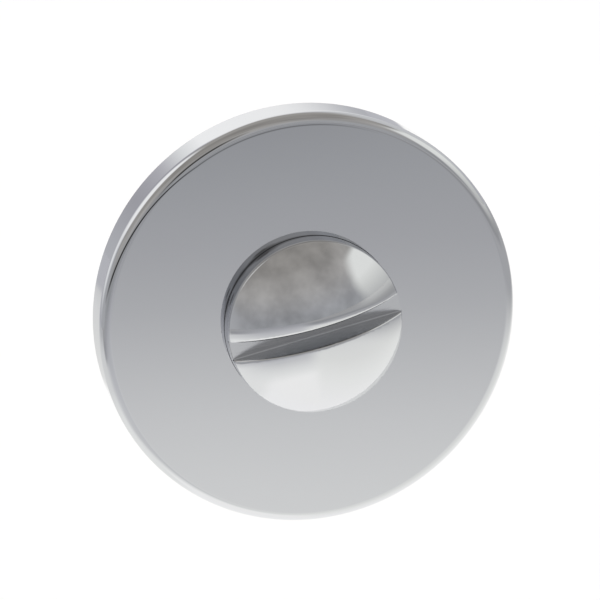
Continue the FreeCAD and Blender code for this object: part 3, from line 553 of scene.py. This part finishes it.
thrustWasher = {"bore": 5.15, "outer": 8.2, "front": 3.0, "back": 3.5, "burr": 0.08, "roll": 0.15}
makeTurned("thrustWasher", [
    (thrustWasher["bore"], thrustWasher["front"], thrustWasher["burr"], 2),
    (thrustWasher["outer"], thrustWasher["front"], thrustWasher["burr"], 2),
    (thrustWasher["outer"], thrustWasher["back"], thrustWasher["roll"], 4),
    (thrustWasher["bore"], thrustWasher["back"], thrustWasher["roll"], 4)],
    zincPlate, "rose", ["thrust_washer"], steps=128)

makeFromCad("circlip", "circlip", springSteel, "release", 0.07, angle=40)

snapRing = {"inner": 24.25, "outer": 25.25, "front": -2.1, "back": -1.1, "edge": 0.14, "gap": 30}
gap = math.radians(snapRing["gap"])
makeTurned("coverSnapRing", [
    (snapRing["inner"], snapRing["front"], snapRing["edge"], 3),
    (snapRing["outer"], snapRing["front"], snapRing["edge"], 3),
    (snapRing["outer"], snapRing["back"], snapRing["edge"], 3),
    (snapRing["inner"], snapRing["back"], snapRing["edge"], 3)],
    springSteel, "rose", ["cover_snap_ring"], steps=176, angle=2 * math.pi - gap,
    start=-math.pi / 2 - gap / 2)

makeFromCad("spindle", "spindle", zincPlate, "release", 0.2, angle=30)
print("the inner pieces are made")


# Nibs and screws

def cutThread(mesh, pitch, start, end, radiusAt):
    # moves every point between start and end out to the thread's radius at its place on the helix
    for vert in mesh.verts:
        depth = vert.co.y / mm
        if start < depth < end:
            turn = (depth / pitch + math.atan2(vert.co.z, vert.co.x) / (2 * math.pi)) % 1
            radius = radiusAt(vert, depth, abs(turn * 2 - 1))
            if radius:
                scale = radius * mm / math.hypot(vert.co.x, vert.co.z)
                vert.co.x *= scale
                vert.co.z *= scale


nib = {"front": -4.9, "end": 9.0, "flare": 0.5, "neck": 2.7, "shoulder": -0.4, "body": 3.5, "bore": 1.65,
    "threadTo": 2.0, "pitch": 0.7, "steps": 10, "edge": 0.4, "apart": 19.0}


def makeNib(name, node, side):
    def threadAt(vert, depth, turn):
        if math.hypot(vert.co.x, vert.co.z) / mm > nib["bore"] + 0.05:
            return None
        fade = min(1, (depth - nib["front"]) / 0.9, (nib["end"] - depth) / 0.9)
        return nib["bore"] + (nib["threadTo"] - nib["bore"]) * fade * min(1, max(0, turn * 1.3 - 0.15))

    mesh = bmesh.new()
    first, last = nib["front"] + nib["edge"], nib["end"] - nib["edge"]
    rings = int((last - first) / nib["pitch"] * nib["steps"])
    bore = [(nib["bore"], first + (last - first) * i / rings) for i in range(rings, -1, -1)]
    addLine(mesh, [(nib["bore"] + nib["edge"], nib["front"]), (nib["neck"] + nib["flare"], nib["front"], 0.1, 2),
        (nib["neck"], nib["front"] + nib["flare"]), (nib["neck"], nib["shoulder"], 0.06, 2),
        (nib["body"], nib["shoulder"], 0.15, 3), (nib["body"], nib["end"], nib["edge"], 4),
        (nib["bore"] + nib["edge"], nib["end"])] + bore, closed=True)
    turnAboutY(mesh, 48)
    cutThread(mesh, nib["pitch"], first - 0.01, last + 0.01, threadAt)
    bmesh.ops.translate(mesh, verts=mesh.verts[:], vec=(side * nib["apart"] * mm, 0, 0))
    finishPiece(mesh, name, zincPlate, "rose", [node])


makeNib("boltNibLeft", "bolt_nib_left", -1)
makeNib("boltNibRight", "bolt_nib_right", 1)

screw = {"front": -4.8, "rim": 0.3, "head": 3.5, "shank": 1.75, "core": 1.2, "pitch": 1.5, "steps": 14,
    "threadStart": 1.6, "pointStart": 11.2, "end": 15.2, "cross": 0.5, "reach": 2.0, "crossDepth": 1.4, "apart": 19.0}


def makeScrew(name, node, side):
    taper = screw["head"] - screw["shank"]
    neck = screw["front"] + screw["rim"] + taper

    def threadAt(vert, depth, turn):
        grow = min(1, (depth - screw["threadStart"]) / 1.2)
        narrow = min(1, max(0.02, (screw["end"] - depth) / (screw["end"] - screw["pointStart"])))
        core = screw["shank"] + (screw["core"] - screw["shank"]) * grow
        crest = max(0, 1 - (1 - turn) / 0.32)
        return (core + (screw["shank"] - core) * crest) * narrow

    mesh = bmesh.new()
    first, last = screw["threadStart"], screw["end"] - 0.08
    rings = int((last - first) / screw["pitch"] * screw["steps"])
    thread = [(screw["shank"], first + (last - first) * i / rings) for i in range(rings + 1)]
    addLine(mesh, [(0, screw["front"]), (screw["head"] - 0.1, screw["front"]), (screw["head"], screw["front"] + 0.1),
        (screw["head"], screw["front"] + screw["rim"], 0.08, 2), (screw["shank"], neck, 0.25, 3)] + thread + [(0,
        screw["end"])])
    turnAboutY(mesh, 40)
    cutThread(mesh, screw["pitch"], first + 0.001, last + 0.01, threadAt)
    sinkPocket(mesh, screw["front"], (-screw["reach"], -screw["cross"], screw["cross"], screw["reach"]),
               lambda x, z: min(x, z) < screw["cross"] and max(x, z) < screw["reach"], screw["crossDepth"])
    bmesh.ops.translate(mesh, verts=mesh.verts[:], vec=(0, 0, side * screw["apart"] * mm))
    finishPiece(mesh, name, zincPlate, "rose", [node])


makeScrew("woodScrewLower", "wood_screw_lower", -1)
makeScrew("woodScrewUpper", "wood_screw_upper", 1)
print("the nibs and screws are made")


# Camera, at the place that the photograph was taken from

def makeCamera():
    right, up, back = Vector((0.9492, -0.2246, -0.2205)), Vector((0.2775, 0.2663, 0.9231)), Vector((-0.1486, -0.9374,
        0.3151))
    lens = bpy.data.cameras.new("camera")
    lens.lens = 180
    lens.sensor_width = 36
    lens.clip_start = 0.01
    lens.clip_end = 50
    camera = bpy.data.objects.new("camera", lens)
    bpy.context.scene.collection.objects.link(camera)
    turn = Matrix((right, up, back)).transposed().to_4x4()
    camera.matrix_world = Matrix.Translation((back * 371.6 + right * -0.05 + up * 1.04) * mm) @ turn
    bpy.context.scene.camera = camera


makeCamera()


# Floor: a wide white sheet 0.3 m below, in a grey room. Off the line of view it shades off, most in front.

def makeFloor():
    mesh = bmesh.new()
    bmesh.ops.create_circle(mesh, cap_ends=True, segments=96, radius=9)
    bmesh.ops.translate(mesh, verts=mesh.verts[:], vec=(0, 0, -0.3))
    data = bpy.data.meshes.new("floor")
    mesh.to_mesh(data)
    mesh.free()
    material = bpy.data.materials.new("paleSheet")
    material.use_nodes = True
    tree = material.node_tree
    shader = tree.nodes["Principled BSDF"]
    shader.inputs["Roughness"].default_value = 0.9
    shader.inputs["Specular IOR Level"].default_value = 0
    place = addNode(tree, "TexCoord").outputs["Object"]
    # in metres: away from the dim corner in front on the right, aside of the line of view, behind, and out
    away = addNode(tree, "VectorMath", {"operation": "DOT_PRODUCT"},
        {0: place, 1: (-0.655, 0.755, 0)}).outputs["Value"]
    aside = addNode(tree, "VectorMath", {"operation": "DOT_PRODUCT"},
        {0: place, 1: (0.9877, -0.1566, 0)}).outputs["Value"]
    behind = addNode(tree, "VectorMath", {"operation": "DOT_PRODUCT"},
        {0: place, 1: (0.1566, 0.9877, 0)}).outputs["Value"]
    level = addNode(tree, "VectorMath", {"operation": "MULTIPLY"}, {0: place, 1: (1, 1, 0)})
    out = addNode(tree, "VectorMath", {"operation": "LENGTH"}, {0: level}).outputs["Value"]
    ahead = addNode(tree, "VectorMath", {"operation": "DOT_PRODUCT"}, {0: place, 1: (0, -1, 0)}).outputs["Value"]
    sheet = addNode(tree, "ValToRGB",
        {"stops": [(0.045, "#9d9fa3"), (0.118, "#a4a6aa"), (0.227, "#aeafb3"), (0.3, "#b9babd"), (0.41, "#d4d5d6"),
        (0.473, "#dedfdf"), (0.591, "#e6e7e6"), (0.727, "#ebecea"), (0.864, "#f6f7f5"), (1.0,
        "#fefefe")]}, {0: addNode(tree, "MapRange", inputs={"Value": away, "From Min": -1.1, "From Max": 0.0})})
    # each shade: what it grows with, where it starts and is full, and its colour
    front = addNode(tree, "Math", {"operation": "MULTIPLY"}, {
        0: addNode(tree, "MapRange", {"interpolation_type": "SMOOTHSTEP"},
            {"Value": out, "From Min": 1.05, "From Max": 1.5}),
        1: addNode(tree, "MapRange", {"interpolation_type": "SMOOTHSTEP"},
            {"Value": ahead, "From Min": 0.0, "From Max": 0.6})})
    farTone = addNode(tree, "ValToRGB",
        {"stops": [(0.0, "#9a9b9f"), (0.12, "#96979a"), (0.3, "#a8a9ab"), (0.8, "#a6a6a7")]}, {0: addNode(tree,
        "MapRange", inputs={"Value": out, "From Min": 1.0, "From Max": 9.0})})
    slant = addNode(tree, "Math", {"operation": "ARCTAN2"},
        {0: addNode(tree, "SeparateXYZ", inputs={0: place}).outputs["X"], 1: ahead})
    frontLeft = addNode(tree, "Math", {"operation": "MULTIPLY"}, {
        0: addNode(tree, "MapRange", {"interpolation_type": "SMOOTHSTEP"},
            {"Value": slant, "From Min": -1.6, "From Max": -0.6}),
        1: addNode(tree, "MapRange", {"interpolation_type": "SMOOTHSTEP"},
            {"Value": slant, "From Min": 0.1, "From Max": -0.2})})
    nearTone = addNode(tree, "ValToRGB",
        {"stops": [(0.06, "#fefefd"), (0.075, "#f1f2f1"), (0.0925, "#e4e5e5"), (0.115, "#d0d1d3"),
        (0.1675, "#cdced1"), (0.205, "#c6c7cb"), (0.2625, "#c0c1c5"), (0.3525, "#b8b9be"), (0.525, "#aeafb4"), (1.0,
        "#a4a5aa")]}, {0: addNode(tree, "MapRange", inputs={"Value": out, "From Min": 0, "From Max": 4.0})})
    leftTone = addNode(tree, "ValToRGB",
        {"stops": [(0.05, "#f1f2f1"), (0.12, "#e2e3e3"), (0.2, "#dedfdf"), (0.35, "#dadbdc"), (0.6, "#cccdcf"),
        (1.0, "#bebfc2")]}, {0: addNode(tree, "MapRange", inputs={"Value": out, "From Min": 0.3, "From Max": 4.0})})
    toRight = addNode(tree, "Math", {"operation": "MULTIPLY"}, {
        0: addNode(tree, "MapRange", {"interpolation_type": "SMOOTHSTEP"},
            {"Value": slant, "From Min": 0.7, "From Max": 1.15}),
        1: addNode(tree, "MapRange", {"interpolation_type": "SMOOTHSTEP"},
            {"Value": slant, "From Min": 1.95, "From Max": 1.65})})
    farRight = addNode(tree, "Math", {"operation": "MULTIPLY"},
        {0: toRight, 1: addNode(tree, "MapRange", {"interpolation_type": "SMOOTHSTEP"},
        {"Value": out, "From Min": 1.3, "From Max": 1.75})})
    rightTone = addNode(tree, "ValToRGB",
        {"stops": [(0.094, "#a1a2a4"), (0.16, "#a9aaab"), (0.275, "#bcbdbd"), (0.525, "#c8c9c9"),
        (1.0, "#cbccca")]}, {0: addNode(tree, "MapRange", inputs={"Value": out, "From Min": 1.0, "From Max": 9.0})})
    color = sheet
    for amount, tone in (
            (addNode(tree, "MapRange", {"interpolation_type": "SMOOTHSTEP"},
                {"Value": aside, "From Min": 0.35, "From Max": 0.7}), "#adaeb1"),
            (addNode(tree, "MapRange", {"interpolation_type": "SMOOTHSTEP"}, {"Value": aside, "From Min": -0.155,
                "From Max": -0.23}), leftTone),
            (addNode(tree, "MapRange", {"interpolation_type": "SMOOTHSTEP"},
                {"Value": behind, "From Min": 1.85, "From Max": 2.3}), "#bbbcc2"),
            (front, farTone), (frontLeft, nearTone), (farRight, rightTone)):
        tone = linearColor(tone) if isinstance(tone, str) else tone
        color = addNode(tree, "Mix", {"data_type": "RGBA"}, {"Factor": amount, "A": color, "B": tone})
    tree.links.new(color.outputs["Result"], shader.inputs["Base Color"])
    data.materials.append(material)
    floor = bpy.data.objects.new("floor", data)
    bpy.context.scene.collection.objects.link(floor)


makeFloor()


# The room above the floor, by direction: a dim mottled front, a bright back wall, and a window on the right

def makeRoom():
    world = bpy.data.worlds.new("room")
    bpy.context.scene.world = world
    world.use_nodes = True
    tree = world.node_tree
    shader = tree.nodes["Background"]
    way = addNode(tree, "TexCoord").outputs["Generated"]
    parts = addNode(tree, "SeparateXYZ", inputs={0: way})
    height = addNode(tree, "MapRange", inputs={"Value": parts.outputs["Z"], "From Min": -0.1, "From Max": 1.0})
    front = addNode(tree, "ValToRGB",
        {"stops": [(0.0, "#a4a6a9"), (0.18, "#a2a3a6"), (0.5, "#a9a7a5"), (0.8, "#9b9894"),
        (1.0, "#95928e")]}, {0: height})
    mottle = addNode(tree, "TexNoise", inputs={"Vector": way, "Scale": 2.6, "Detail": 3, "Roughness": 0.55})
    mottleLevel = addNode(tree, "MapRange", inputs={"Value": mottle.outputs["Fac"], "From Min": 0.3, "From Max": 0.7,
        "To Min": 0.78, "To Max": 1.18})
    mottled = addNode(tree, "VectorMath", {"operation": "SCALE"}, {0: front, "Scale": mottleLevel})
    # the back wall from its left end to its right end, in shares of half a turn: bright panels with dimmer gaps
    slant = addNode(tree, "Math", {"operation": "ARCTAN2"}, {0: parts.outputs["X"], 1: parts.outputs["Y"]})
    panels = addNode(tree, "ValToRGB", {"stops": [
        (0.0, "#9b9ca0"), (0.056, "#b3b4b8"), (0.111, "#dadbde"), (0.167, "#edeeef"), (0.222, "#f3f4f4"),
        (0.278, "#e7e8ea"), (0.333, "#c4c4c9"), (0.389, "#a2a1a8"), (0.417, "#a1a0a7"), (0.444, "#b9b8be"),
        (0.467, "#e7e8e9"), (0.489, "#fefefe"), (0.556, "#fbfbfb"), (0.611, "#f6f6f6"), (0.667, "#dcdddf"),
        (0.722, "#cdced0"), (0.833, "#d4d5d6"), (0.917, "#c8c9cb"), (1.0, "#d9dadb")]},
        {0: addNode(tree, "MapRange", inputs={"Value": slant, "From Min": -math.pi / 2, "From Max": math.pi / 2})})
    low = addNode(tree, "MapRange", {"interpolation_type": "SMOOTHSTEP"},
        {"Value": parts.outputs["Z"], "From Min": 0.24, "From Max": -0.04})
    high = addNode(tree, "Math", {"operation": "MULTIPLY"}, {
        0: addNode(tree, "MapRange", {"interpolation_type": "SMOOTHSTEP"},
            {"Value": parts.outputs["Z"], "From Min": 0.62, "From Max": 0.85}),
        1: addNode(tree, "MapRange", {"interpolation_type": "SMOOTHSTEP"},
            {"Value": parts.outputs["X"], "From Min": -0.5, "From Max": -0.2})})
    back = panels
    for amount, tone in ((low, "#b7b8bd"), (high, "#a5a29e")):
        back = addNode(tree, "Mix", {"data_type": "RGBA"},
            {"Factor": amount, "A": back, "B": linearColor(tone)}).outputs["Result"]
    turned = addNode(tree, "MapRange", {"interpolation_type": "SMOOTHSTEP"},
        {"Value": parts.outputs["Y"], "From Min": -0.05, "From Max": 0.12})
    room = addNode(tree, "Mix", {"data_type": "RGBA"}, {"Factor": turned, "A": mottled, "B": back})
    # a glow at the horizon on the left
    left = addNode(tree, "VectorMath", {"operation": "DOT_PRODUCT"},
        {0: way, 1: (-0.992, -0.12, -0.03)}).outputs["Value"]
    glow = addNode(tree, "MapRange", {"interpolation_type": "SMOOTHSTEP"},
        {"Value": left, "From Min": 0.88, "From Max": 0.99})
    room = addNode(tree, "Mix", {"data_type": "RGBA"}, {"Factor": glow, "A": room, "B": linearColor("#b1b2b5")})
    # a bright patch high on the left, which edges the rounded rims with light
    patch = addNode(tree, "VectorMath", {"operation": "DOT_PRODUCT"},
        {0: way, 1: (-0.6, 0.28, 0.75)}).outputs["Value"]
    shine = addNode(tree, "MapRange", {"interpolation_type": "SMOOTHSTEP"},
        {"Value": patch, "From Min": 0.906, "From Max": 0.975})
    room = addNode(tree, "Mix", {"data_type": "RGBA"}, {"Factor": shine, "A": room, "B": linearColor("#ffffff")})
    # the window, cut off level above and dimmer towards its sill
    right = addNode(tree, "VectorMath", {"operation": "DOT_PRODUCT"},
        {0: way, 1: (0.9568, -0.2034, 0.2079)}).outputs["Value"]
    near = addNode(tree, "MapRange", {"interpolation_type": "SMOOTHSTEP"},
        {"Value": right, "From Min": 0.855, "From Max": 0.95})
    under = addNode(tree, "MapRange", {"interpolation_type": "SMOOTHSTEP"},
        {"Value": parts.outputs["Z"], "From Min": 0.6, "From Max": 0.5})
    glass = addNode(tree, "ValToRGB",
        {"stops": [(0.0, "#bcbdbd"), (0.09, "#cacbca"), (0.155, "#d5d6d4"), (0.27, "#e6e7e4"),
        (0.34, "#f0f1ee")]}, {0: height})
    amount = addNode(tree, "Math", {"operation": "MULTIPLY"}, {0: near, 1: under})
    room = addNode(tree, "Mix", {"data_type": "RGBA"}, {"Factor": amount, "A": room, "B": glass})
    tree.links.new(room.outputs["Result"], shader.inputs["Color"])
    shader.inputs["Strength"].default_value = 1


makeRoom()


def makeLamps():
    # one broad soft lamp high behind the left shoulder and a weaker one opposite
    for name, direction, power, softness in (("softKey", (-0.35, 0.25, 1), 1.32, 60),
        ("softFill", (0.4, -0.5, 1), 0.535, 90)):
        lamp = bpy.data.lights.new(name, "SUN")
        lamp.energy = power
        lamp.angle = math.radians(softness)
        light = bpy.data.objects.new(name, lamp)
        light.rotation_euler = Vector(direction).to_track_quat("Z", "Y").to_euler()
        light.visible_glossy = False
        bpy.context.scene.collection.objects.link(light)


makeLamps()
bpy.context.scene.view_settings.view_transform = "Standard"

slots = {part["node"]: part["material_slot"] for part in frame["record"]["subparts"]}
for nodeName, node in frame["nodes"].items():
    node.data.materials.clear()
    node.data.materials.append(finishes[slots[nodeName]])
print("light, floor and camera are made")
